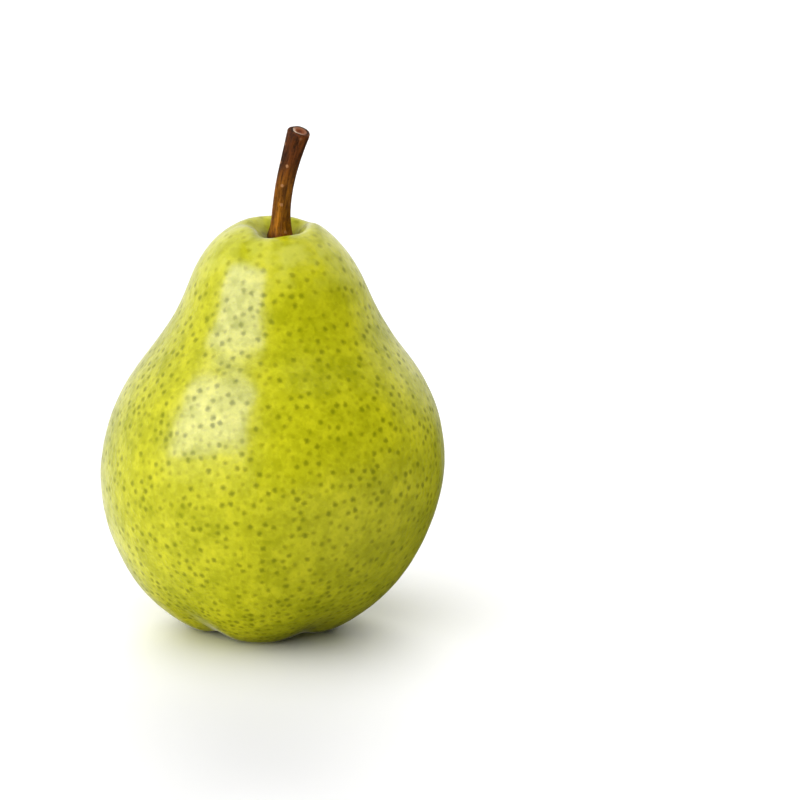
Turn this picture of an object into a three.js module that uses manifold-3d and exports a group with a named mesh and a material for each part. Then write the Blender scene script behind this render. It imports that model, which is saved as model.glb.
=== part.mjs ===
// A whole green pear standing on its lobed base: the fruit, its woody stem and the dried calyx under it.
// Millimetres, +Z up. The neck leans a little towards +X, and the stem bends that way and towards -Y.
import * as THREE from "three";
import Module from "manifold-3d";

// The driving sizes of the fruit
const BELLY_R = 38.4; // half the widest part
const CREST_Z = 91.4; // floor to the shoulder that rings the stem's dimple
const LEAN = 3.3; // how far the top of the neck stands to the side of the base
const GAP = 0.3; // between two pieces that touch on the real fruit

// The fruit's skin from the calyx out to the floor, up the flank and in to the stem.
// Each point is a share of BELLY_R and a share of CREST_Z, and pulls the smooth line towards itself.
const SKIN_OUTLINE = [
  [0.102, 0.052], // mouth of the calyx seat
  [0.17, 0.036],
  [0.25, 0.008],
  [0.352, -0.0095], // lobe that the fruit stands on, cut flat by the floor
  [0.47, 0.01],
  [0.609, 0.052],
  [0.766, 0.112],
  [0.916, 0.219],
  [1.009, 0.361], // belly
  [0.977, 0.503],
  [0.858, 0.624],
  [0.672, 0.717],
  [0.548, 0.81], // neck
  [0.486, 0.89],
  [0.359, 0.964],
  [0.24, 1.0], // crest round the dimple
  [0.182, 1.008],
  [0.125, 0.985],
  [0.086, 0.962], // mouth of the stem socket
];
const STEPS_BETWEEN_POINTS = 3;
const SIDES = 60;

// Furrows run out of a dimple over its rim: direction and half width in degrees, depth in mm
const BASE_FURROWS = [
  { at: -132, wide: 16, deep: 1.3 },
  { at: -54, wide: 18, deep: 1.3 },
  { at: 18, wide: 18, deep: 1.5 },
  { at: 88, wide: 18, deep: 1.4 },
  { at: 158, wide: 17, deep: 1.5 },
];
const TOP_FURROWS = [
  { at: 182, wide: 20, deep: 0.9 },
  { at: 42, wide: 22, deep: 1.0 },
  { at: -110, wide: 28, deep: 3.0 },
  { at: -60, wide: 30, deep: 1.4 },
];
const LOBE_R = 0.352 * BELLY_R;
const BASE_FURROW_REACH = 9; // height at which a base furrow has faded from the flank
const RIB_REACH = 22; // height at which the ribs between the furrows have faded
const RIB_SHARE = 0.8; // how much of a furrow's depth also goes into the flank
const TOP_FURROW_R = 5.4;
const TOP_FURROW_REACH = 3.8;
const DIMPLE_SHIFT = 0.65; // the dimple lies this far towards +X of the neck's middle
const LEFT_RISE = 0.035; // the crest rises this much a millimetre towards -X
const SWELL = 0.3; // slow unevenness of the flank
const FULL_FRONT = [{ at: -112, wide: 45, deep: 1.2 }]; // the front stands out this much more at the waist
const FULL_FRONT_Z = 0.68 * CREST_Z;
const FULL_FRONT_REACH = 8.5;

// The stem: radius along its length, measured up from its foot in the dimple
const FOOT_Z = 88.5;
const ROOT_LENGTH = 4.6;
const ROOT_R = 2.2;
const STEM_OUTLINE = [
  [2.85, 0],
  [2.95, 0.5],
  [2.5, 1.7],
  [2.1, 4.2],
  [1.98, 8],
  [1.97, 14],
  [2.12, 19],
  [2.36, 22.6],
  [2.55, 24.7],
];
const STEM_TIP_DISH = 0.3; // the cut end is a little hollow
const STEM_ROUND = 0.7; // rounding of the cut end's edge
const STEM_PATH = [
  [0, 0, 0], // foot
  [0.2, -0.1, 6],
  [1.05, -0.6, 12],
  [2.45, -1.5, 17.5],
  [4.0, -2.6, 22.5],
  [4.85, -3.4, 25.2],
];
const STEM_SIDES = 20;

// The calyx: a small cup in its seat, with dried sepals round the mouth and stamens inside
const SEAT_R = 3.3;
const SEAT_FLOOR_R = 2.2;
const SEAT_DEPTH = 3.6;
const SEPALS = 5;
const SEPAL_LENGTH_STEPS = 7;
const SEPAL_WIDTH = 2.7;
const SEPAL_THICKNESS = 0.55;
const STAMENS = 9;
const STAMEN_R = 0.28;
const SEED = 7;

const { smoothstep, degToRad, lerp, clamp } = THREE.MathUtils;
const wasm = await Module();
wasm.setup();

/** A cubic B-spline that starts and ends at its first and last point. */
class SmoothCurve extends THREE.Curve {
  constructor(points) {
    super();
    const before = points[0].clone().multiplyScalar(2).sub(points[1]);
    const after = points.at(-1).clone().multiplyScalar(2).sub(points.at(-2));
    this.points = [before, ...points, after];
  }

  getPoint(t, target = new THREE.Vector3()) {
    const spans = this.points.length - 3;
    const first = Math.min(Math.floor(clamp(t, 0, 1) * spans), spans - 1);
    const u = clamp(t, 0, 1) * spans - first;
    const weights = [(1 - u) ** 3, 3 * u ** 3 - 6 * u ** 2 + 4, -3 * u ** 3 + 3 * u ** 2 + 3 * u + 1, u ** 3];
    target.set(0, 0, 0);
    weights.forEach((weight, i) => target.addScaledVector(this.points[first + i], weight / 6));
    return target;
  }
}

/** Sum of the furrow depths in a direction. */
function furrowDepth(furrows, angle) {
  return furrows.reduce((sum, { at, wide, deep }) => {
    const away = angle - degToRad(at);
    const turn = Math.atan2(Math.sin(away), Math.cos(away));
    return sum + deep * Math.exp(-((turn / degToRad(wide)) ** 2));
  }, 0);
}

/** Sideways place of the fruit's middle line at a height. */
function leanAt(z) {
  const left = 1 - clamp(z / CREST_Z, 0, 1);
  return LEAN * (1 - left ** 2);
}

/** Slow swelling of the flank, so that the fruit isn't perfectly round. */
function swellAt(z, angle) {
  const fade = Math.sin(Math.PI * clamp(z / CREST_Z, 0, 1));
  const wave = Math.sin(2 * angle + 0.9 + z / 40) + 0.7 * Math.sin(3 * angle - 0.6 - z / 17);
  return SWELL * fade * wave;
}

/** Moves a point of the round outline, at radius r, height z and an angle, to where the fruit has grown. */
function grow(r, z, angle) {
  const inTopHalf = z > CREST_Z / 2;
  const groove = inTopHalf ? 0 : furrowDepth(BASE_FURROWS, angle);
  const flankFade = r < LOBE_R ? 1 : Math.exp(-((z / BASE_FURROW_REACH) ** 2));
  const rib = Math.exp(-((z / RIB_REACH) ** 2)) * smoothstep(r, 6, 20);
  const crease = inTopHalf ? furrowDepth(TOP_FURROWS, angle) : 0;
  const nearDimple = Math.exp(-(((r - TOP_FURROW_R) / TOP_FURROW_REACH) ** 2)) * smoothstep(r, 2.8, 4.8);
  const onCrest = smoothstep(z, 0.77 * CREST_Z, CREST_Z);
  const fullness = furrowDepth(FULL_FRONT, angle) * Math.exp(-(((z - FULL_FRONT_Z) / FULL_FRONT_REACH) ** 2));

  const radius = r + (swellAt(z, angle) + fullness) * smoothstep(r, 6, 20) - RIB_SHARE * groove * rib;
  const x = radius * Math.cos(angle);
  const y = radius * Math.sin(angle);
  const lift = groove * flankFade * smoothstep(r, 4, LOBE_R) - crease * nearDimple - LEFT_RISE * x * onCrest;
  const height = Math.max(z + lift, 0);
  const shift = inTopHalf ? DIMPLE_SHIFT * (1 - smoothstep(r, 6, 15)) : 0;
  return new THREE.Vector3(x + leanAt(z) + shift, y, height);
}

/** Turns a profile of [radius, height] about +Z, then moves each vertex by place(radius, height, angle). */
function turned(profile, sides, place) {
  const points = profile.map(([r, z]) => new THREE.Vector2(r, z));
  const geometry = new THREE.LatheGeometry(points, sides).rotateX(Math.PI / 2);
  const position = geometry.getAttribute("position");
  const vertex = new THREE.Vector3();
  for (let i = 0; i < position.count; i++) {
    vertex.fromBufferAttribute(position, i);
    const moved = place(Math.hypot(vertex.x, vertex.y), vertex.z, Math.atan2(vertex.y, vertex.x));
    position.setXYZ(i, moved.x, moved.y, moved.z);
  }
  geometry.computeVertexNormals();
  return geometry;
}

/** A smooth line along [radius, height] points, as a list of such points. */
function smoothLine(points, stepsBetween) {
  const curve = new SmoothCurve(points.map(([r, z]) => new THREE.Vector3(r, z, 0)));
  return curve.getPoints(stepsBetween * (points.length - 1)).map(({ x, y }) => [x, y]);
}

const skinPoints = SKIN_OUTLINE.map(([r, z]) => [r * BELLY_R, z * CREST_Z]);
const seatMouthZ = skinPoints[0][1] + 0.3;
const seatX = leanAt(seatMouthZ);
const socketR = ROOT_R + GAP;
const socketMouthZ = skinPoints.at(-1)[1] - GAP;
const socketX = leanAt(socketMouthZ) + DIMPLE_SHIFT;

/** Flesh and skin, with the seat of the calyx below and the socket of the stem above. */
function bodyGeometry() {
  const seat = [
    [0, seatMouthZ + SEAT_DEPTH],
    [SEAT_FLOOR_R, seatMouthZ + SEAT_DEPTH],
    [SEAT_R, seatMouthZ],
  ];
  const socketFloorZ = FOOT_Z - ROOT_LENGTH - GAP;
  const socket = [
    [socketR, socketMouthZ],
    [socketR, (socketMouthZ + socketFloorZ) / 2],
    [socketR, socketFloorZ],
    [0, socketFloorZ],
  ];
  const profile = [...seat, ...smoothLine(skinPoints, STEPS_BETWEEN_POINTS), ...socket];
  // The walls of the seat and the socket stay round and upright, each round its own piece.
  return turned(profile, SIDES, (r, z, angle) => {
    const [wallR, wallX] = z > CREST_Z / 2 ? [socketR, socketX] : [SEAT_R, seatX];
    return r < wallR + 0.01
      ? new THREE.Vector3(r * Math.cos(angle) + wallX, r * Math.sin(angle), z)
      : grow(r, z, angle);
  });
}

/** The stem: a fluted, tapering rod, upright in its socket and bent along its path above the foot. */
function stemGeometry() {
  const outline = smoothLine(STEM_OUTLINE, 3);
  const [tipR, length] = STEM_OUTLINE.at(-1);
  const roundedEdge = [30, 60, 90].map(degToRad).map((turn) => [
    tipR - STEM_ROUND * (1 - Math.cos(turn)),
    length + STEM_ROUND * Math.sin(turn),
  ]);
  const profile = [
    [0, -ROOT_LENGTH],
    [ROOT_R, -ROOT_LENGTH],
    [ROOT_R, 0],
    ...outline,
    ...roundedEdge,
    [0, length + STEM_ROUND - STEM_TIP_DISH],
  ];
  const path = new SmoothCurve(STEM_PATH.map((p) => new THREE.Vector3(...p)));
  const pathLength = path.getLength();
  const foot = new THREE.Vector3(socketX, 0, FOOT_Z);
  return turned(profile, STEM_SIDES, (r, along, angle) => {
    const flutes = 0.04 * Math.cos(3 * angle + 0.12 * along) + 0.025 * Math.cos(5 * angle - 1 + 0.2 * along);
    const radius = r * (1 + flutes * smoothstep(along, 0, 3));
    const share = clamp(along / pathLength, 0, 1);
    const onPath = path.getPointAt(share);
    const forward = along > 0 ? path.getTangentAt(share) : new THREE.Vector3(0, 0, 1);
    const side = new THREE.Vector3(1, 0, 0).addScaledVector(forward, -forward.x).normalize();
    const front = forward.clone().cross(side);
    const past = along - clamp(along, 0, pathLength);
    return foot
      .clone()
      .add(onPath)
      .addScaledVector(forward, past)
      .addScaledVector(side, radius * Math.cos(angle))
      .addScaledVector(front, radius * Math.sin(angle));
  });
}

/** A closed geometry as a manifold-3d solid. */
function solidOf(geometry) {
  const mesh = new wasm.Mesh({
    numProp: 3,
    vertProperties: Float32Array.from(geometry.getAttribute("position").array),
    triVerts: Uint32Array.from(geometry.index.array),
  });
  mesh.merge();
  return new wasm.Manifold(mesh);
}

/** A manifold-3d solid as a geometry. */
function geometryOf(solid) {
  const { vertProperties, triVerts } = solid.getMesh();
  const geometry = new THREE.BufferGeometry();
  geometry.setAttribute("position", new THREE.BufferAttribute(Float32Array.from(vertProperties), 3));
  geometry.setIndex(new THREE.BufferAttribute(Uint32Array.from(triVerts), 1));
  geometry.computeVertexNormals();
  return geometry;
}

/** Repeatable random numbers from 0 to 1. */
function randomFrom(seed) {
  let state = seed;
  return () => {
    state = (state * 16807) % 2147483647;
    return state / 2147483647;
  };
}

/** One sepal: a pointed blade that hangs from the cup's rim and curls outwards at its tip. */
function sepalGeometry(curl) {
  const rimR = SEAT_R - GAP - 0.8;
  const line = new THREE.QuadraticBezierCurve3(
    new THREE.Vector3(rimR, 0, seatMouthZ + 0.7),
    new THREE.Vector3(rimR + 0.5, 0, seatMouthZ - 3.2 - curl),
    new THREE.Vector3(rimR + 2.7 + curl, 0, seatMouthZ - 2.0),
  );
  const length = line.getLength();
  const outline = [[0, 0]];
  for (let step = 0; step <= SEPAL_LENGTH_STEPS; step++) {
    const share = step / SEPAL_LENGTH_STEPS;
    outline.push([Math.max((1 - share ** 1.6) / 2, 0.05), share * length]);
  }
  outline.push([0, length]);
  return turned(outline, 10, (r, along, angle) => {
    const share = clamp(along / length, 0, 1);
    const forward = line.getTangentAt(share);
    const outward = new THREE.Vector3(0, 1, 0).cross(forward);
    return line
      .getPointAt(share)
      .addScaledVector(outward, -r * SEPAL_THICKNESS * Math.sin(angle))
      .add(new THREE.Vector3(0, r * SEPAL_WIDTH * Math.cos(angle), 0));
  });
}

/** The dried calyx: cup, sepals and stamens, joined as they grew. */
function calyxGeometry() {
  const random = randomFrom(SEED);
  const mouthR = SEAT_R - GAP;
  const topR = SEAT_FLOOR_R - GAP;
  const cup = new THREE.LatheGeometry(
    [
      [0, seatMouthZ + 1.6],
      [mouthR - 1.1, seatMouthZ + 0.9],
      [mouthR - 0.6, seatMouthZ],
      [mouthR, seatMouthZ],
      [topR, seatMouthZ + SEAT_DEPTH - GAP],
      [0, seatMouthZ + SEAT_DEPTH - GAP],
    ].map(([r, z]) => new THREE.Vector2(r, z)),
    24,
  ).rotateX(Math.PI / 2);
  let calyx = solidOf(cup);
  for (let i = 0; i < SEPALS; i++) {
    const blade = sepalGeometry(lerp(-0.3, 0.5, random()));
    blade.rotateZ((2 * Math.PI * (i + 0.3 * random())) / SEPALS);
    calyx = calyx.add(solidOf(blade));
  }
  for (let i = 0; i < STAMENS; i++) {
    const length = lerp(3.2, 4.4, random());
    const stamen = new THREE.CylinderGeometry(STAMEN_R, 0.6 * STAMEN_R, length, 6).rotateX(Math.PI / 2);
    stamen.translate(0, 0, -length / 2);
    stamen.rotateY(-lerp(0.05, 0.3, random()));
    stamen.translate(lerp(0.3, 0.9, random()), 0, seatMouthZ + 2);
    stamen.rotateZ((2 * Math.PI * (i + random())) / STAMENS);
    calyx = calyx.add(solidOf(stamen));
  }
  return geometryOf(calyx).translate(seatX, 0, 0);
}

/** A named mesh with a plain matt or waxy colour. */
function piece(name, geometry, color, roughness) {
  const mesh = new THREE.Mesh(geometry, new THREE.MeshStandardMaterial({ color, roughness, metalness: 0 }));
  mesh.name = name;
  return mesh;
}

const pear = new THREE.Group();
pear.add(piece("pear_body", bodyGeometry(), 0xc0c83c, 0.45));
pear.add(piece("stem", stemGeometry(), 0x7a4a26, 0.7));
pear.add(piece("calyx", calyxGeometry(), 0x4a3220, 0.9));

// The origin is on the floor, in the middle of the fruit's box.
const box = new THREE.Box3().setFromObject(pear);
pear.children.forEach((mesh) => {
  mesh.position.set(-(box.min.x + box.max.x) / 2, -(box.min.y + box.max.y) / 2, 0);
});

export default pear;
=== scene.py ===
"""A whole green pear on a pale studio floor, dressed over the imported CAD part.

Metres, +Z up. The skin, the stem and the calyx follow the same outlines and the same rules of growth as the
CAD part, at a finer step, and carry their dots, bark and dry sepals in their own materials.
"""
import math

import bpy
import numpy as np
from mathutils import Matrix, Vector, kdtree, noise


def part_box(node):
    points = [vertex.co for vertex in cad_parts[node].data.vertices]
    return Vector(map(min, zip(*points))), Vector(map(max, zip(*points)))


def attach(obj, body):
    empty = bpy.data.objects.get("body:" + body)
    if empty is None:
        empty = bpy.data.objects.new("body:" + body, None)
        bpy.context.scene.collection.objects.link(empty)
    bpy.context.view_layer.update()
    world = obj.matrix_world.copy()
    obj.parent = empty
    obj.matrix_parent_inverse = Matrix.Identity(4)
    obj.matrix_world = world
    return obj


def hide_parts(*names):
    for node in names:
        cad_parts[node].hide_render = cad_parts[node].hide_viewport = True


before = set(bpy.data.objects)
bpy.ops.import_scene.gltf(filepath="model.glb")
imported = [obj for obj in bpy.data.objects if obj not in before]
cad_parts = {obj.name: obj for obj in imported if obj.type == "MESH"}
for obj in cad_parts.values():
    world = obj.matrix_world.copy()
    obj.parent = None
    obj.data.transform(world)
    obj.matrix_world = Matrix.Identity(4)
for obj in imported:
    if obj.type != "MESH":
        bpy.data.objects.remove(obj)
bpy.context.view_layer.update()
body_low, body_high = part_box("pear_body")
stem_low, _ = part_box("stem")

MM = 0.001
SEED = 11

# The driving sizes of the fruit, from the frame
BELLY_R = (body_high[0] - body_low[0]) / 2
SHOULDER_RISE = 1.00585  # the left shoulder stands a little over the crest
CREST_Z = body_high[2] / SHOULDER_RISE
LEAN = 3.3 * MM

# The skin from the calyx out to the floor, up the flank and in to the stem, in shares of BELLY_R and CREST_Z
SKIN_OUTLINE = [
    (0.102, 0.052),
    (0.17, 0.036),
    (0.25, 0.008),
    (0.352, -0.0095),
    (0.47, 0.01),
    (0.609, 0.052),
    (0.766, 0.112),
    (0.916, 0.219),
    (1.009, 0.361),
    (0.977, 0.503),
    (0.858, 0.624),
    (0.672, 0.717),
    (0.548, 0.81),
    (0.486, 0.89),
    (0.359, 0.964),
    (0.24, 1.0),
    (0.182, 1.008),
    (0.125, 0.985),
    (0.086, 0.962),
]
SKIN_RINGS = 250
SKIN_SIDES = 384

# Furrows over the rim of a dimple: direction and half width in degrees, depth in metres
BASE_FURROWS = [
    (-132, 16, 1.3 * MM),
    (-54, 18, 1.3 * MM),
    (18, 18, 1.5 * MM),
    (88, 18, 1.4 * MM),
    (158, 17, 1.5 * MM),
]
TOP_FURROWS = [
    (182, 20, 0.9 * MM),
    (42, 22, 1.0 * MM),
    (-110, 28, 3.0 * MM),
    (-60, 30, 1.4 * MM),
]
LOBE_R = 0.352 * BELLY_R
BASE_FURROW_REACH = 9 * MM
RIB_REACH = 22 * MM
RIB_SHARE = 0.8
TOP_FURROW_R = 5.4 * MM
TOP_FURROW_REACH = 3.8 * MM
DIMPLE_WALL = (2.8 * MM, 4.8 * MM)  # the creases start between these distances from the axis
DIMPLE_SHIFT = 0.65 * MM
DIMPLE_SHIFT_FADE = (6 * MM, 15 * MM)  # the dimple's sideways shift fades out between these distances
LEFT_RISE = 0.035
SWELL = 0.3 * MM
FLANK = (6 * MM, 20 * MM)  # the flank's ribs and swellings start between these distances from the axis
FULL_FRONT = [(-112, 45, 1.2 * MM)]  # the front is fuller at the waist: direction and half width, height
FULL_FRONT_Z = 0.68 * CREST_Z
FULL_FRONT_REACH = 8.5 * MM

# Least distance between the skin's dots on the flank, and shares of it near the base and the shoulder
DOT_SPACING = 1.75 * MM
DOT_SPACING_BASE = 0.75
DOT_SPACING_SHOULDER = 1.3
DOT_SPACING_SPREAD = (0.85, 1.35)
BASE_BAND = (4 * MM, 22 * MM)
SHOULDER_BAND = (0.78 * CREST_Z, 0.95 * CREST_Z)
DOT_TRIES = 60000
UNEVEN_DEPTH = 0.12 * MM  # slow dents and swellings of the skin
UNEVEN_SIZE = 9 * MM
UNEVEN_FROM_STEM = (5 * MM, 12 * MM)  # the unevenness starts between these distances
UNEVEN_FROM_FLOOR = (3 * MM, 12 * MM)
STREAK_LENGTH = 30 * MM
DIMPLE_RUSSET_AND_SHADE = (3.2 * MM, 5.2 * MM)  # the russet brown and the painted shade of the crease round the stem's foot fade out between these distances from the stem's axis
SEAT_TINT = (3.5 * MM, 8 * MM)

# The stem: radius in mm along its length in mm, measured up from its foot in the dimple
ROOT_LENGTH = 4.6 * MM
FOOT_Z = stem_low[2] + ROOT_LENGTH
STEM_OUTLINE = [
    (2.85, 0),
    (2.95, 0.5),
    (2.5, 1.7),
    (2.1, 4.2),
    (1.98, 8),
    (1.97, 14),
    (2.12, 19),
    (2.36, 22.6),
    (2.55, 24.6),
]
STEM_PATH = [
    (0, 0, 0),
    (0.2, -0.1, 6),
    (1.05, -0.6, 12),
    (2.45, -1.5, 17.5),
    (4.0, -2.6, 22.5),
    (4.85, -3.4, 25.2),
]
STEM_TIP_DISH = 0.3 * MM
BARK_SHARE = 0.985  # the bark's furrows are cut into the CAD radius
STEM_ROUND = 0.7 * MM
BARK_STRETCH = 0.16  # the grain's step along the stem counts as this share of a step across it
BARK_SPOTS = 26
BARK_SPOT_SPACING = 2 * MM

# The calyx
SEAT_R = 3.3 * MM
SEAT_DEPTH = 3.6 * MM
SEPALS = 5
SEPAL_WIDTH = 2.7 * MM
SEPAL_THICKNESS = 0.4 * MM
STAMENS = 14

# The photo's view of it
PHOTO_SIZE = 800
PHOTO_SCALE = 0.2219 * MM  # one photo pixel at the pear
BASE_PIXEL = (263.0, 625.5)  # where the middle of the base stands on the floor
CAMERA_HEIGHT_ANGLE = math.radians(14)
CAMERA_DISTANCE = 1.1

# Lamps: azimuth from the camera's side, elevation and width in degrees, and strength
FRUIT_LAMPS = [
    ("left", -66, 19, 40, 2.5),
    ("front", -30, 10, 40, 2.25),
    ("top", 70, 70, 40, 1.8),
    ("rear", 120, 50, 40, 1.3),
]
FLOOR_LAMPS = [
    ("floor_top", -45, 60, 100, 3.3),
    ("floor_rear", 180, 12, 50, 6.5),
]
FLOOR_SHADE = (0.9, 0.85)  # the floor's colour for the camera, and for the light that it sends up
FLOOR_REACH = 8.0

# What the fruit's gloss shows: a softbox at its azimuth and elevation in degrees, and the room around it
SOFTBOX_PLACE = (-49.5, 38.5)
SOFTBOX_ROLL = math.radians(13.5)
SOFTBOX_AIM_Z = 0.05
SOFTBOX_AWAY = 0.6
SOFTBOX_SIZE = (0.575, 0.43)
SOFTBOX_WATTS = 3.9
SOFTBOX_COLOUR = (0.54, 0.55, 1.0)
ROOM_IN_GLOSS = 0.02
BACKDROP_IN_GLOSS = 1.1
BACKDROP_TILT = -0.6  # the backdrop reaches further down at the left
BACKDROP_FOOT = (-0.5, -0.15)  # it fades in upwards between these heights of a unit direction
BACKDROP_SIDES = (0.1, 0.7)  # and away from the camera between these
LEFT_WALL_EDGE = (-1, -0.3)
LEFT_WALL_IN_GLOSS = 0.45
ROOM_AS_LIGHT = 0.03


def smooth_line(points, steps):
    """Points along a cubic B-spline that starts and ends at the first and last of the given points."""
    p = np.array(points, float)
    p = np.vstack([2 * p[0] - p[1], p, 2 * p[-1] - p[-2]])
    u = np.arange(steps)[:, None] / steps
    weights = np.hstack([(1 - u) ** 3, 3 * u**3 - 6 * u**2 + 4, -3 * u**3 + 3 * u**2 + 3 * u + 1, u**3]) / 6
    spans = [weights @ p[first : first + 4] for first in range(len(p) - 3)]
    return np.vstack(spans + [p[-2]])


def evenly_spaced(line, count):
    """Points at equal steps along a line of points."""
    steps = np.linalg.norm(np.diff(line, axis=0), axis=1)
    lengths = np.concatenate([[0], np.cumsum(steps)])
    wanted = np.linspace(0, lengths[-1], count)
    return np.stack([np.interp(wanted, lengths, values) for values in line.T], axis=-1)


def smoothstep(x, low, high):
    t = np.clip((x - low) / (high - low), 0, 1)
    return t * t * (3 - 2 * t)


def furrow_depth(furrows, angle):
    """Sum of the furrow depths in a direction."""
    total = 0 * angle
    for direction, half_width, depth in furrows:
        away = angle - math.radians(direction)
        turn = np.arctan2(np.sin(away), np.cos(away))
        total = total + depth * np.exp(-((turn / math.radians(half_width)) ** 2))
    return total


def lean_at(z):
    """Sideways place of the fruit's middle line at a height."""
    left = 1 - np.clip(z / CREST_Z, 0, 1)
    return LEAN * (1 - left**2)


def swell_at(z, angle):
    """Slow swelling of the flank, so that the fruit isn't perfectly round."""
    fade = np.sin(np.pi * np.clip(z / CREST_Z, 0, 1))
    wave = np.sin(2 * angle + 0.9 + z / (40 * MM)) + 0.7 * np.sin(3 * angle - 0.6 - z / (17 * MM))
    return SWELL * fade * wave


def grow(r, z, angle):
    """Moves points of the round outline to where the fruit has grown."""
    in_top = z > CREST_Z / 2
    groove = np.where(in_top, 0, furrow_depth(BASE_FURROWS, angle))
    flank_fade = np.where(r < LOBE_R, 1, np.exp(-((z / BASE_FURROW_REACH) ** 2)))
    rib = np.exp(-((z / RIB_REACH) ** 2)) * smoothstep(r, *FLANK)
    crease = np.where(in_top, furrow_depth(TOP_FURROWS, angle), 0)
    near_dimple = np.exp(-(((r - TOP_FURROW_R) / TOP_FURROW_REACH) ** 2)) * smoothstep(r, *DIMPLE_WALL)
    on_crest = smoothstep(z, 0.77 * CREST_Z, CREST_Z)

    fullness = furrow_depth(FULL_FRONT, angle) * np.exp(-(((z - FULL_FRONT_Z) / FULL_FRONT_REACH) ** 2))
    radius = r + (swell_at(z, angle) + fullness) * smoothstep(r, *FLANK) - RIB_SHARE * groove * rib
    x = radius * np.cos(angle)
    y = radius * np.sin(angle)
    lobes = groove * flank_fade * smoothstep(r, 4 * MM, LOBE_R)
    lift = lobes - crease * near_dimple - LEFT_RISE * x * on_crest
    shift = np.where(in_top, DIMPLE_SHIFT * (1 - smoothstep(r, *DIMPLE_SHIFT_FADE)), 0)
    return np.stack([x + lean_at(z) + shift, y, np.maximum(z + lift, 0)], axis=-1)


def turned(profile, sides, place):
    """Turns a profile that starts and ends on the axis about +Z, and moves each point by place(r, z, angle).

    Gives the vertices, with the two poles first and last, and the faces."""
    profile = np.array(profile, float)
    angles = np.arange(sides) * 2 * np.pi / sides
    rings = len(profile) - 2
    r = np.repeat(profile[1:-1, 0], sides)
    z = np.repeat(profile[1:-1, 1], sides)
    pole = np.zeros(1)
    bottom = place(pole, pole + profile[0, 1], pole)
    top = place(pole, pole + profile[-1, 1], pole)
    vertices = np.vstack([bottom, place(r, z, np.tile(angles, rings)), top])

    side = np.arange(sides)
    after = (side + 1) % sides
    ring = 1 + sides * np.arange(rings - 1)[:, None]
    quads = np.stack([ring + side, ring + after, ring + sides + after, ring + sides + side], axis=-1)
    last = 1 + sides * (rings - 1)
    end = len(vertices) - 1
    bottom_fan = [(0, 1 + int(b), 1 + int(a)) for a, b in zip(side, after)]
    top_fan = [(end, last + int(a), last + int(b)) for a, b in zip(side, after)]
    return vertices, quads.reshape(-1, 4).tolist() + bottom_fan + top_fan


def new_object(name, vertices, faces, material):
    """A smooth-shaded mesh object in the row frame."""
    mesh = bpy.data.meshes.new(name)
    mesh.from_pydata((vertices + ROW_OFFSET).tolist(), [], faces)
    mesh.validate()
    mesh.shade_smooth()
    mesh.materials.append(material)
    obj = bpy.data.objects.new(name, mesh)
    bpy.context.scene.collection.objects.link(obj)
    return obj


def give_values(obj, name, values, domain="POINT"):
    """Stores a number or a vector for each vertex, or for each face corner, for the material to read."""
    values = np.asarray(values, np.float32)
    kind, field = ("FLOAT", "value") if values.ndim == 1 else ("FLOAT_VECTOR", "vector")
    attribute = obj.data.attributes.new(name, kind, domain)
    attribute.data.foreach_set(field, values.ravel())


def scattered(vertices, faces, spacing_at, tries, random):
    """Random points on the quads of a mesh, none closer to an earlier one than its own spacing."""
    quads = vertices[np.array([face for face in faces if len(face) == 4])]
    across = np.cross(quads[:, 2] - quads[:, 0], quads[:, 3] - quads[:, 1])
    area = np.linalg.norm(across, axis=1)
    chosen = quads[random.choice(len(quads), tries, p=area / area.sum())]
    u, v = random.random((2, tries, 1))
    bottom_edge = chosen[:, 0] * (1 - u) + chosen[:, 1] * u
    top_edge = chosen[:, 3] * (1 - u) + chosen[:, 2] * u
    points = bottom_edge * (1 - v) + top_edge * v
    spacings = spacing_at(points, random)
    cell = spacings.max()
    kept = {}
    steps = [(i, j, k) for i in (-1, 0, 1) for j in (-1, 0, 1) for k in (-1, 0, 1)]
    for point, spacing in zip(points, spacings):
        home = tuple(np.floor(point / cell).astype(int))
        near = [q for i, j, k in steps for q in kept.get((home[0] + i, home[1] + j, home[2] + k), ())]
        if all(math.dist(point, q) > spacing for q in near):
            kept.setdefault(home, []).append(tuple(point))
    return np.array([q for cell_points in kept.values() for q in cell_points])


def give_spots(obj, vertices, centres, name, random):
    """Stores for each face corner the way in mm to the spot nearest to its face, and that spot's strength."""
    mesh = obj.data
    corners = np.empty(len(mesh.loops), int)
    mesh.loops.foreach_get("vertex_index", corners)
    sizes = np.empty(len(mesh.polygons), int)
    mesh.polygons.foreach_get("loop_total", sizes)
    face = np.repeat(np.arange(len(sizes)), sizes)
    middles = np.zeros((len(sizes), 3))
    np.add.at(middles, face, vertices[corners])
    middles /= sizes[:, None]
    tree = kdtree.KDTree(len(centres))
    for index, centre in enumerate(centres):
        tree.insert(centre, index)
    tree.balance()
    nearest = np.array([tree.find(middle)[1] for middle in middles])[face]
    give_values(obj, name + "_way", (centres[nearest] - vertices[corners]) / MM, "CORNER")
    give_values(obj, name + "_strength", random.random(len(centres))[nearest], "CORNER")


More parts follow.
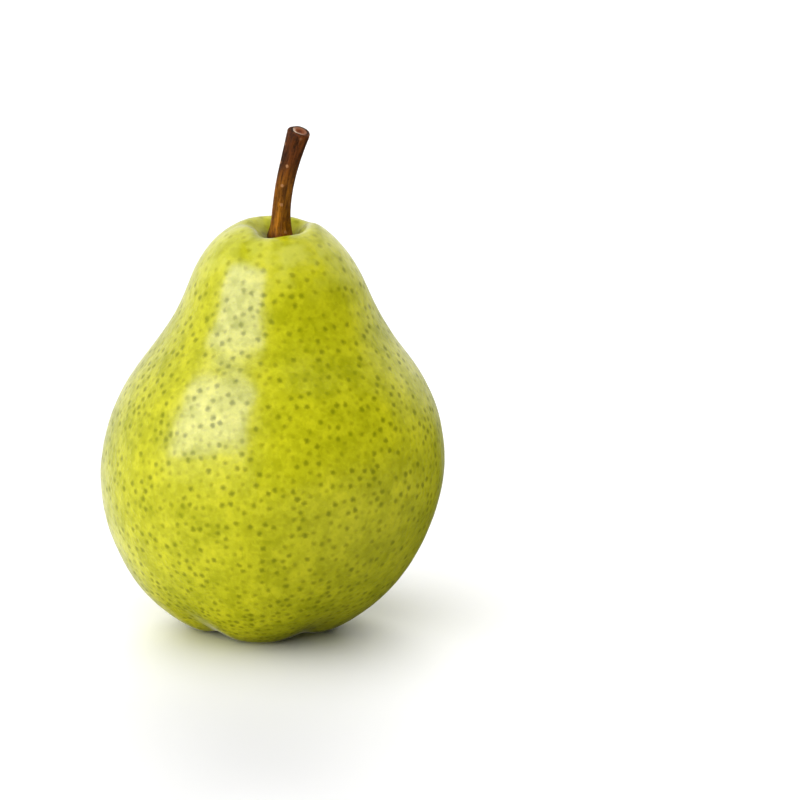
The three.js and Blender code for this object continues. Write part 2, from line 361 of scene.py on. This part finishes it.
class Nodes:
    """A material's node tree, with short calls for the nodes that this script uses."""

    def __init__(self, name):
        self.material = bpy.data.materials.new(name)
        self.material.use_nodes = True
        self.tree = self.material.node_tree
        self.shader = self.tree.nodes["Principled BSDF"]
        self.place = self.add("ShaderNodeTexCoord").outputs["Object"]

    def add(self, kind, **settings):
        node = self.tree.nodes.new(kind)
        for key, value in settings.items():
            setattr(node, key, value)
        return node

    def put(self, socket, value):
        """Links an output to a socket, or sets a plain value on it."""
        if isinstance(value, bpy.types.NodeSocket):
            self.tree.links.new(value, socket)
        else:
            socket.default_value = value

    def attribute(self, name, output="Fac"):
        return self.add("ShaderNodeAttribute", attribute_name=name).outputs[output]

    def noise(self, size, detail=3, roughness=0.55, where=None, distortion=0):
        """Noise from 0 to 1 with features of about that size in metres."""
        node = self.add("ShaderNodeTexNoise")
        self.put(node.inputs["Vector"], where or self.place)
        self.put(node.inputs["Scale"], 1 / size)
        self.put(node.inputs["Detail"], detail)
        self.put(node.inputs["Roughness"], roughness)
        self.put(node.inputs["Distortion"], distortion)
        return node.outputs["Fac"]

    def math(self, operation, a, b=0.0, c=0.0):
        node = self.add("ShaderNodeMath", operation=operation)
        for socket, value in zip(node.inputs, (a, b, c)):
            self.put(socket, value)
        return node.outputs[0]

    def ranged(self, value, low, high, to_low=0.0, to_high=1.0):
        """Maps low..high to to_low..to_high, smoothly and no further."""
        node = self.add("ShaderNodeMapRange", interpolation_type="SMOOTHSTEP")
        for socket, number in zip(node.inputs, (value, low, high, to_low, to_high)):
            self.put(socket, number)
        return node.outputs["Result"]

    def mix(self, share, a, b):
        node = self.add("ShaderNodeMix", data_type="RGBA")
        colour_inputs = [socket for socket in node.inputs if socket.type == "RGBA"]
        self.put(node.inputs[0], share)
        self.put(colour_inputs[0], a)
        self.put(colour_inputs[1], b)
        return [socket for socket in node.outputs if socket.type == "RGBA"][0]

    def bump(self, heights):
        """Chains bumps of (height output, depth in metres)."""
        normal = None
        for height, depth in heights:
            node = self.add("ShaderNodeBump")
            self.put(node.inputs["Distance"], depth)
            self.put(node.inputs["Height"], height)
            if normal:
                self.put(node.inputs["Normal"], normal)
            normal = node.outputs["Normal"]
        self.put(self.shader.inputs["Normal"], normal)

    def spots(self, name, radius, softness, ragged, growth=0.0):
        """1 on the spots that give_spots stored and 0 off them, with sizes in mm.

        Growth widens the strong spots."""
        way = self.add("ShaderNodeVectorMath", operation="LENGTH")
        self.put(way.inputs[0], self.attribute(name + "_way", "Vector"))
        uneven_edge = self.math("MULTIPLY_ADD", self.noise(0.7 * MM, detail=2), ragged, way.outputs["Value"])
        grown = self.math("MULTIPLY_ADD", self.attribute(name + "_strength"), -growth, uneven_edge)
        middle = radius + (ragged - growth) / 2
        return self.ranged(grown, middle - softness, middle + softness, 1.0, 0.0)


def colour(red, green, blue):
    """A linear colour from screen values of 0 to 255."""
    screen = [value / 255 for value in (red, green, blue)]
    linear = [((v + 0.055) / 1.055) ** 2.4 if v > 0.04 else v / 12.92 for v in screen]
    return tuple(linear) + (1,)


SKIN_PALE = colour(190, 187, 22)
SKIN_GREEN = colour(143, 146, 2)
SKIN_DEEP = colour(120, 124, 1)
SKIN_DOT = colour(110, 113, 0)
SKIN_STREAK = colour(190, 190, 76)
SKIN_RUSSET_AND_SHADE = colour(96, 78, 20)
BARK_GOLD = colour(152, 95, 8)
BARK_BROWN = colour(84, 48, 4)
BARK_RED = colour(92, 46, 10)
BARK_DARK = colour(38, 20, 5)
BARK_FOOT = colour(92, 42, 12)
BARK_LENTICEL = colour(190, 140, 96)
WOOD_PITH = colour(84, 38, 16)
WOOD_HEART = colour(124, 68, 36)
WOOD_PALE = colour(206, 182, 158)


def skin_material():
    """Waxy yellow-green skin: paler and greener patches, darker soft dots, pale streaks on the shoulder."""
    n = Nodes("pear_skin")
    broad = n.ranged(n.noise(20 * MM, detail=2), 0.34, 0.66)
    patches = n.ranged(n.noise(6.5 * MM, detail=3, roughness=0.6), 0.36, 0.64)
    blotches = n.ranged(n.noise(2.2 * MM, detail=3, roughness=0.55, distortion=0.2), 0.36, 0.64)
    fine = n.noise(0.9 * MM, detail=3, roughness=0.6)
    small = n.math("MULTIPLY_ADD", patches, 0.38, n.math("MULTIPLY", blotches, 0.36))
    green = n.math("MULTIPLY_ADD", broad, 0.26, small)
    base = n.mix(green, SKIN_PALE, SKIN_GREEN)
    base = n.mix(n.ranged(fine, 0.3, 0.7, 0.0, 0.16), base, SKIN_DEEP)

    shoulder = n.ranged(n.attribute("height"), 0.84, 0.98)
    streak_noise = n.noise(1.1 * MM, detail=1.5, where=n.attribute("streak_place", "Vector"))
    streaks = n.math("MULTIPLY", n.ranged(streak_noise, 0.45, 0.7), 0.3)
    bloom = n.math("MULTIPLY_ADD", n.ranged(n.noise(6 * MM, detail=2), 0.4, 0.62), 0.5, streaks)
    base = n.mix(n.math("MULTIPLY", bloom, shoulder), base, SKIN_STREAK)

    strength = n.ranged(n.attribute("dot_strength"), 0, 1, 0.2, 0.86)
    strength = n.math("MULTIPLY", strength, n.ranged(shoulder, 0, 1, 1.0, 0.6))
    dots = n.math("MULTIPLY", n.spots("dot", 0.44, 0.42, 0.8, growth=0.3), strength)
    base = n.mix(dots, base, SKIN_DOT)
    # russet brown and painted shade of the crease round the stem's foot, and browner round the calyx's seat
    base = n.mix(n.math("MULTIPLY", n.attribute("russet_and_painted_shade"), 0.65), base, SKIN_RUSSET_AND_SHADE)
    n.put(n.shader.inputs["Base Color"], base)

    rough = n.ranged(n.noise(4 * MM), 0.3, 0.7, 0.32, 0.42)
    n.put(n.shader.inputs["Roughness"], n.math("MULTIPLY_ADD", dots, 0.1, rough))
    n.put(n.shader.inputs["Specular IOR Level"], 0.06)
    wax = n.ranged(n.math("MULTIPLY_ADD", dots, 0.9, green), 0.0, 1.7, 0.64, 0.22)
    n.put(n.shader.inputs["Coat Weight"], wax)
    n.put(n.shader.inputs["Coat Roughness"], 0.19)
    n.put(n.shader.inputs["Coat IOR"], 1.8)
    n.put(n.shader.inputs["Subsurface Weight"], 0.12)
    n.put(n.shader.inputs["Subsurface Radius"], (2.5 * MM, 2.2 * MM, 0.4 * MM))
    n.put(n.shader.inputs["Subsurface Scale"], 1.0)
    n.bump([(blotches, 0.07 * MM), (fine, 0.06 * MM), (dots, -0.04 * MM)])
    return n.material


def bark_material():
    """Woody stem: golden brown low down, dark red-brown near the tip, with ridges along its length."""
    n = Nodes("stem_bark")
    where = n.attribute("bark_place", "Vector")
    upper = n.ranged(n.attribute("along"), 0.22, 0.8)
    foot = n.ranged(n.attribute("along"), 0.0, 0.09, 1.0, 0.0)
    ridges = n.ranged(n.noise(1.1 * MM, detail=4, roughness=0.65, where=where, distortion=0.3), 0.32, 0.68)
    fine = n.noise(0.35 * MM, detail=3, roughness=0.6, where=where)
    flecks = n.ranged(n.noise(0.8 * MM, detail=2), 0.52, 0.66)
    light = n.mix(upper, BARK_GOLD, BARK_RED)
    base = n.mix(ridges, light, n.mix(upper, BARK_BROWN, BARK_DARK))
    base = n.mix(n.math("MULTIPLY", flecks, 0.3), base, BARK_DARK)
    base = n.mix(n.math("MULTIPLY", foot, 0.7), base, BARK_FOOT)
    lenticels = n.math("MULTIPLY", n.spots("bark_spot", 0.36, 0.14, 0.3), n.attribute("bark_spot_strength"))
    base = n.mix(n.math("MULTIPLY", lenticels, 0.7), base, BARK_LENTICEL)

    across = n.math("MULTIPLY_ADD", n.noise(1.2 * MM, detail=2), 0.24, n.attribute("across"))
    wood = n.mix(n.ranged(across, 0.26, 0.4), WOOD_PITH, WOOD_HEART)
    split = n.add("ShaderNodeSeparateXYZ")
    n.put(split.inputs[0], where)
    left_front = n.math("ADD", split.outputs["X"], split.outputs["Y"])
    pale_share = n.ranged(left_front, -2.2 * MM, 0.3 * MM, 0.9, 0.1)
    wood = n.mix(n.math("MULTIPLY", n.ranged(across, 0.5, 0.58), pale_share), wood, WOOD_PALE)
    wood = n.mix(n.ranged(across, 0.71, 0.78), wood, BARK_DARK)
    base = n.mix(n.attribute("cut"), base, wood)
    n.put(n.shader.inputs["Base Color"], base)
    n.put(n.shader.inputs["Roughness"], n.ranged(fine, 0.3, 0.7, 0.42, 0.68))
    n.put(n.shader.inputs["Specular IOR Level"], 0.1)
    n.bump([(ridges, -0.22 * MM), (fine, 0.07 * MM), (lenticels, 0.1 * MM)])
    return n.material


def calyx_material():
    """Dry brown sepals and stamens with paler tips."""
    n = Nodes("dried_calyx")
    grain = n.noise(0.5 * MM, detail=4, roughness=0.65)
    base = n.mix(n.ranged(grain, 0.3, 0.7), colour(62, 42, 26), colour(112, 80, 50))
    base = n.mix(n.math("MULTIPLY", n.attribute("tip"), 0.8), base, colour(172, 142, 98))
    n.put(n.shader.inputs["Base Color"], base)
    n.put(n.shader.inputs["Roughness"], n.ranged(grain, 0.3, 0.7, 0.6, 0.85))
    n.bump([(grain, 0.12 * MM)])
    return n.material


def floor_material():
    n = Nodes("studio_floor")
    paper = n.noise(40 * MM, detail=2)
    seen = n.add("ShaderNodeLightPath").outputs["Is Camera Ray"]
    shade = n.ranged(seen, 0, 1, FLOOR_SHADE[1], n.ranged(paper, 0, 1, FLOOR_SHADE[0], FLOOR_SHADE[0] + 0.01))
    n.put(n.shader.inputs["Base Color"], shade)
    n.put(n.shader.inputs["Roughness"], n.ranged(paper, 0, 1, 0.8, 0.9))
    n.put(n.shader.inputs["Specular IOR Level"], 0.1)
    return n.material


SKIN_POINTS = [(r * BELLY_R, z * CREST_Z) for r, z in SKIN_OUTLINE]
SEAT_Z = SKIN_POINTS[0][1] + 0.3 * MM
DIMPLE_Z = SKIN_POINTS[-1][1] - 0.3 * MM
SEAT_X = lean_at(SEAT_Z)
STEM_X = lean_at(DIMPLE_Z) + DIMPLE_SHIFT


def skin_shape():
    """The fruit's vertices and faces. Its skin closes under the stem and inside the calyx's seat."""
    seat = [(0, SEAT_Z + SEAT_DEPTH), (2.2 * MM, SEAT_Z + SEAT_DEPTH), (SEAT_R, SEAT_Z)]
    under_stem = [(2.2 * MM, DIMPLE_Z - 0.5 * MM), (1 * MM, DIMPLE_Z - 0.8 * MM), (0, DIMPLE_Z - 0.9 * MM)]
    flank = evenly_spaced(smooth_line(SKIN_POINTS, 40), SKIN_RINGS)
    profile = seat + flank.tolist() + under_stem
    return turned(profile, SKIN_SIDES, grow)


def uneven(vertices):
    """Slow unevenness of the skin, none where it meets the stem, the calyx and the floor."""
    x, y, z = vertices.T
    from_stem = np.where(z > CREST_Z / 2, np.hypot(x - STEM_X, y), BELLY_R)
    fade = smoothstep(from_stem, *UNEVEN_FROM_STEM) * smoothstep(z, *UNEVEN_FROM_FLOOR)
    slow = np.array([noise.noise(Vector(v) / UNEVEN_SIZE) for v in vertices])
    quick = np.array([noise.noise(Vector(v) * 2.3 / UNEVEN_SIZE) for v in vertices])
    out = np.stack([x - lean_at(z), y, 0 * z], axis=-1)
    out /= np.maximum(np.linalg.norm(out, axis=1, keepdims=True), MM)
    return vertices + out * (UNEVEN_DEPTH * fade * (slow + 0.4 * quick - 1))[:, None]


skin_vertices, skin_faces = skin_shape()
middle_of_skin = (skin_vertices.min(axis=0) + skin_vertices.max(axis=0)) / 2
middle_of_body = (np.array(body_low) + np.array(body_high)) / 2
ROW_OFFSET = np.append((middle_of_body - middle_of_skin)[:2], 0)
skin_vertices = uneven(skin_vertices)


def dot_spacing(points, random):
    """The skin's dots stand closer near the base and wider on the shoulder, and vary everywhere."""
    z = points[:, 2]
    base = DOT_SPACING_BASE + (1 - DOT_SPACING_BASE) * smoothstep(z, *BASE_BAND)
    shoulder = 1 + (DOT_SPACING_SHOULDER - 1) * smoothstep(z, *SHOULDER_BAND)
    return DOT_SPACING * base * shoulder * random.uniform(*DOT_SPACING_SPREAD, len(z))


def make_skin():
    random = np.random.default_rng(SEED)
    obj = new_object("pear_skin", skin_vertices, skin_faces, skin_material())
    dots = scattered(skin_vertices, skin_faces, dot_spacing, DOT_TRIES, random)
    give_spots(obj, skin_vertices, dots, "dot", random)
    x, y, z = skin_vertices.T
    from_middle = np.hypot(x - lean_at(z), y) + MM
    streak_place = np.stack([3 * x / from_middle, 3 * y / from_middle, z / STREAK_LENGTH], axis=-1)
    give_values(obj, "streak_place", streak_place * MM)
    give_values(obj, "height", z / CREST_Z)
    from_stem = np.hypot(x - STEM_X, y)
    from_calyx = np.hypot(x - SEAT_X, y)
    # russet brown and painted shade round the stem's foot, and browner round the calyx's seat
    top = (z > CREST_Z / 2) * (1 - smoothstep(from_stem, *DIMPLE_RUSSET_AND_SHADE))
    bottom = (z < CREST_Z / 2) * (1 - smoothstep(from_calyx, *SEAT_TINT))
    give_values(obj, "russet_and_painted_shade", top + bottom)
    return obj


def stem_frame(along):
    """Points on the stem's middle line, and the directions to its side and its back there."""
    line = smooth_line(np.array(STEM_PATH) * MM, 40)
    steps = np.linalg.norm(np.diff(line, axis=0), axis=1)
    lengths = np.concatenate([[0], np.cumsum(steps)])
    inside = np.clip(along, 0, lengths[-1])
    middle = np.stack([np.interp(inside, lengths, line[:, i]) for i in range(3)], axis=-1)
    slopes = np.gradient(line, lengths, axis=0)
    forward = np.stack([np.interp(inside, lengths, slopes[:, i]) for i in range(3)], axis=-1)
    forward[along <= 0] = (0, 0, 1)
    forward /= np.linalg.norm(forward, axis=1, keepdims=True)
    side = np.array([1.0, 0, 0]) - forward * forward[:, :1]
    side /= np.linalg.norm(side, axis=1, keepdims=True)
    back = np.cross(forward, side)
    middle = middle + forward * (along - inside)[:, None]
    return middle + np.array([STEM_X, 0, FOOT_Z]), side, back


def bark_relief(along, angle):
    """Flutes and ridges around the stem that turn slowly along it, as a share of its radius."""
    mm_along = along / MM
    flutes = 0.04 * np.cos(3 * angle + 0.12 * mm_along) + 0.025 * np.cos(5 * angle - 1 + 0.2 * mm_along)
    ridges = 0.012 * np.sin(17 * angle + 0.5 * np.sin(mm_along / 2)) + 0.008 * np.sin(29 * angle - 2)
    return (flutes + ridges) * smoothstep(along, 0, 3 * MM)


def make_stem():
    outline = smooth_line(np.array(STEM_OUTLINE) * MM, 18).tolist()
    tip_r, length = (value * MM for value in STEM_OUTLINE[-1])
    turns = np.radians(np.arange(10, 91, 10))
    rounded_r = tip_r - STEM_ROUND * (1 - np.cos(turns))
    rounded_edge = np.stack([rounded_r, length + STEM_ROUND * np.sin(turns)], axis=-1)
    cut_r = tip_r - STEM_ROUND
    shares = np.arange(11, -1, -1) / 12
    cut = [(share * cut_r, length + STEM_ROUND - STEM_TIP_DISH * (1 - share)) for share in shares]
    root = [(0, -ROOT_LENGTH / 3), (2.2 * MM, -ROOT_LENGTH / 3), (2.3 * MM, -0.2 * MM)]
    profile = root + outline + rounded_edge.tolist() + cut
    stored = []

    def place(r, along, angle):
        radius = r * (BARK_SHARE + bark_relief(along, angle))
        middle, side, back = stem_frame(along)
        x = radius * np.cos(angle)
        y = radius * np.sin(angle)
        stored.append(np.stack([x, y, BARK_STRETCH * along], axis=-1))
        return middle + side * x[:, None] + back * y[:, None]

    vertices, faces = turned(profile, 96, place)
    bottom, top, middle = stored
    bark_place = np.vstack([bottom, middle, top])
    obj = new_object("pear_stem", vertices, faces, bark_material())
    across = np.hypot(bark_place[:, 0], bark_place[:, 1]) / tip_r
    along = bark_place[:, 2] / BARK_STRETCH
    on_cut = along > length + 0.95 * STEM_ROUND - STEM_TIP_DISH
    give_values(obj, "bark_place", bark_place)
    give_values(obj, "along", along / length)
    give_values(obj, "across", across)
    give_values(obj, "cut", on_cut * (across < 1.02 * cut_r / tip_r))
    random = np.random.default_rng(SEED)

    def spacing_at(points, _):
        return np.full(len(points), BARK_SPOT_SPACING)

    spots = scattered(vertices, faces, spacing_at, BARK_SPOTS * 20, random)
    give_spots(obj, vertices, spots[:BARK_SPOTS], "bark_spot", random)
    return obj


def blade(start, bend, end, width, thickness, turn):
    """A pointed leaf along a bent line in an upright plane.

    Gives the vertices, the faces and each vertex's share of the leaf's length."""
    steps = 14
    share = np.arange(steps + 1)[:, None] / steps
    weights = np.hstack([(1 - share) ** 2, 2 * share * (1 - share), share**2])
    line = weights @ np.array([start, bend, end])
    slope = np.gradient(line, axis=0)
    slope /= np.linalg.norm(slope, axis=1, keepdims=True)
    out = np.cross([0, 1, 0], slope)
    profile = [(0, 0)] + [(max((1 - s**1.7) / 2, 0.03), s) for s in share[:, 0]] + [(0, 1)]

    def place(r, along, angle):
        at = [np.interp(along, share[:, 0], line[:, i]) for i in range(3)]
        outward = np.stack([np.interp(along, share[:, 0], out[:, i]) for i in range(3)], axis=-1)
        sideways = r * width * np.cos(angle)
        cupped = -r * thickness * np.sin(angle) + 0.25 * np.abs(sideways) * (1 - along)
        flat = np.stack([at[0], at[1] + sideways, at[2]], axis=-1) + outward * cupped[:, None]
        x, y, z = flat.T
        turned_x = x * np.cos(turn) - y * np.sin(turn)
        turned_y = x * np.sin(turn) + y * np.cos(turn)
        return np.stack([turned_x, turned_y, z], axis=-1)

    vertices, faces = turned(profile, 16, place)
    along = np.concatenate([[0], np.repeat([s for _, s in profile[1:-1]], 16), [1]])
    return vertices, faces, along


def make_calyx():
    """Cup, sepals and stamens, joined in one piece."""
    random = np.random.default_rng(SEED)
    rim = SEAT_R - 0.1 * MM
    cup_top = SEAT_Z + SEAT_DEPTH - 0.3 * MM
    cup = [
        (0, SEAT_Z + 1.6 * MM),
        (rim - 1.1 * MM, SEAT_Z + 0.9 * MM),
        (rim - 0.6 * MM, SEAT_Z),
        (rim, SEAT_Z),
        (1.9 * MM, cup_top),
        (0, cup_top),
    ]
    cup_vertices, cup_faces = turned(
        cup, 48, lambda r, z, angle: np.stack([r * np.cos(angle), r * np.sin(angle), z], axis=-1))
    parts = [(cup_vertices, cup_faces, np.zeros(len(cup_vertices)))]
    for index in range(SEPALS):
        curl = random.uniform(-0.3, 0.5) * MM
        turn = 2 * math.pi * (index + random.uniform(0, 0.3)) / SEPALS
        start = (rim - 0.8 * MM, 0, SEAT_Z + 0.7 * MM)
        bend = (rim - 0.3 * MM, 0, SEAT_Z - 3.2 * MM - curl)
        end = (rim + 1.9 * MM + curl, 0, SEAT_Z - 2 * MM)
        parts.append(blade(start, bend, end, SEPAL_WIDTH, SEPAL_THICKNESS, turn))
    for index in range(STAMENS):
        turn = 2 * math.pi * (index + random.random()) / STAMENS
        root = random.uniform(0.3, 1.1) * MM
        reach = random.uniform(0.1, 1.3) * MM
        start = (root, 0, SEAT_Z + 1.4 * MM)
        bend = (root, 0, SEAT_Z)
        end = (root + reach, 0, SEAT_Z - random.uniform(0.8, 2.2) * MM)
        parts.append(blade(start, bend, end, 0.42 * MM, 0.42 * MM, turn))
    vertices, faces, tips, first = [], [], [], 0
    for part_vertices, part_faces, along in parts:
        vertices.append(part_vertices + np.array([SEAT_X, 0, 0]))
        faces += [tuple(corner + first for corner in face) for face in part_faces]
        tips.append(smoothstep(along, 0.55, 1))
        first += len(part_vertices)
    obj = new_object("pear_calyx", np.vstack(vertices), faces, calyx_material())
    give_values(obj, "tip", np.concatenate(tips))
    return obj


def make_floor():
    mesh = bpy.data.meshes.new("studio_floor")
    corners = [(FLOOR_REACH * x, FLOOR_REACH * y, 0) for x, y in ((-1, -1), (1, -1), (1, 1), (-1, 1))]
    mesh.from_pydata(corners, [], [(0, 1, 2, 3)])
    mesh.materials.append(floor_material())
    floor = bpy.data.objects.new("studio_floor", mesh)
    bpy.context.scene.collection.objects.link(floor)
    floor.visible_glossy = False
    return floor


def aim(obj, target):
    obj.rotation_euler = (Vector(target) - obj.location).to_track_quat("-Z", "Y").to_euler()


def make_camera():
    """The camera stands where the photo's did, with the pear at the same place in the frame."""
    data = bpy.data.cameras.new("camera")
    data.sensor_width = 36
    data.lens = data.sensor_width * CAMERA_DISTANCE / (PHOTO_SIZE * PHOTO_SCALE)
    camera = bpy.data.objects.new("camera", data)
    right = (PHOTO_SIZE / 2 - BASE_PIXEL[0]) * PHOTO_SCALE
    up = (BASE_PIXEL[1] - PHOTO_SIZE / 2) * PHOTO_SCALE / math.cos(CAMERA_HEIGHT_ANGLE)
    target = Vector((ROW_OFFSET[0] + right, ROW_OFFSET[1], up))
    away = Vector((0, -math.cos(CAMERA_HEIGHT_ANGLE), math.sin(CAMERA_HEIGHT_ANGLE)))
    camera.location = target + CAMERA_DISTANCE * away
    aim(camera, target)
    bpy.context.scene.collection.objects.link(camera)
    bpy.context.scene.camera = camera


def toward(azimuth, elevation):
    """Unit vector to a place around the fruit, in degrees from the camera's side and up from the floor."""
    a = math.radians(azimuth)
    e = math.radians(elevation)
    return Vector((math.sin(a) * math.cos(e), -math.cos(a) * math.cos(e), math.sin(e)))


def group_of(name, objects):
    """A collection that a lamp's light is kept to."""
    group = bpy.data.collections.new(name)
    for obj in objects:
        group.objects.link(obj)
    return group


def make_lights(fruit, floor):
    """Wide soft lamps for the fruit and for the floor, and a softbox that only the fruit's gloss shows."""
    for lamps, group in ((FRUIT_LAMPS, fruit), (FLOOR_LAMPS, floor)):
        for name, azimuth, elevation, width, energy in lamps:
            data = bpy.data.lights.new(name, "SUN")
            data.energy = energy
            data.angle = math.radians(width)
            lamp = bpy.data.objects.new(name, data)
            lamp.location = toward(azimuth, elevation)
            aim(lamp, (0, 0, 0))
            lamp.visible_glossy = False
            lamp.light_linking.receiver_collection = group
            bpy.context.scene.collection.objects.link(lamp)
    data = bpy.data.lights.new("softbox", "AREA")
    data.shape = "RECTANGLE"
    data.size, data.size_y = SOFTBOX_SIZE
    data.energy = SOFTBOX_WATTS
    data.color = SOFTBOX_COLOUR
    box = bpy.data.objects.new("softbox", data)
    box.location = SOFTBOX_AWAY * toward(*SOFTBOX_PLACE)
    aim(box, (0, 0, SOFTBOX_AIM_Z))
    box.rotation_euler.rotate_axis("Z", SOFTBOX_ROLL)
    box.visible_diffuse = False
    box.visible_camera = False
    box.light_linking.receiver_collection = fruit
    bpy.context.scene.collection.objects.link(box)


def make_world():
    """White to the camera. The gloss sees a bright backdrop, a wall at the left and a dim room in front."""
    world = bpy.data.worlds.new("studio")
    bpy.context.scene.world = world
    world.use_nodes = True
    tree = world.node_tree
    background = tree.nodes["Background"]
    background.inputs["Color"].default_value = (1, 1, 1, 1)
    rays = tree.nodes.new("ShaderNodeLightPath")
    direction = tree.nodes.new("ShaderNodeTexCoord")
    split = tree.nodes.new("ShaderNodeSeparateXYZ")
    tree.links.new(direction.outputs["Generated"], split.inputs[0])
    height = tree.nodes.new("ShaderNodeMath")
    height.operation = "MULTIPLY_ADD"
    tree.links.new(split.outputs["X"], height.inputs[0])
    height.inputs[1].default_value = BACKDROP_TILT
    tree.links.new(split.outputs["Z"], height.inputs[2])
    backdrop = ranged_in(tree, height.outputs[0], *BACKDROP_FOOT, ROOM_IN_GLOSS, BACKDROP_IN_GLOSS)
    front = ranged_in(tree, split.outputs["X"], *LEFT_WALL_EDGE, LEFT_WALL_IN_GLOSS, ROOM_IN_GLOSS)
    around = ranged_in(tree, split.outputs["Y"], *BACKDROP_SIDES, front, backdrop)
    other = ranged_in(tree, rays.outputs["Is Glossy Ray"], 0, 1, ROOM_AS_LIGHT, around)
    strength = ranged_in(tree, rays.outputs["Is Camera Ray"], 0, 1, other, 1.0)
    tree.links.new(strength, background.inputs["Strength"])
    bpy.context.scene.view_settings.view_transform = "Standard"


def ranged_in(tree, *values):
    """A map range node on a value, its two limits and the two results there."""
    node = tree.nodes.new("ShaderNodeMapRange")
    for socket, value in zip(node.inputs, values):
        if isinstance(value, bpy.types.NodeSocket):
            tree.links.new(value, socket)
        else:
            socket.default_value = value
    return node.outputs["Result"]


def dress():
    """Makes each visible piece, hangs it under the root body and hides the CAD node that it stands for."""
    pieces = [make_skin(), make_stem(), make_calyx()]
    nodes_and_slots = [("pear_body", "skin"), ("stem", "stem_bark"), ("calyx", "dried_calyx")]
    for piece, (node, slot) in zip(pieces, nodes_and_slots):
        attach(piece, "root")
        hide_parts(node)
    return pieces


fruit_pieces = dress()
floor_piece = make_floor()
make_camera()
make_lights(group_of("fruit", fruit_pieces), group_of("floor", [floor_piece]))
make_world()
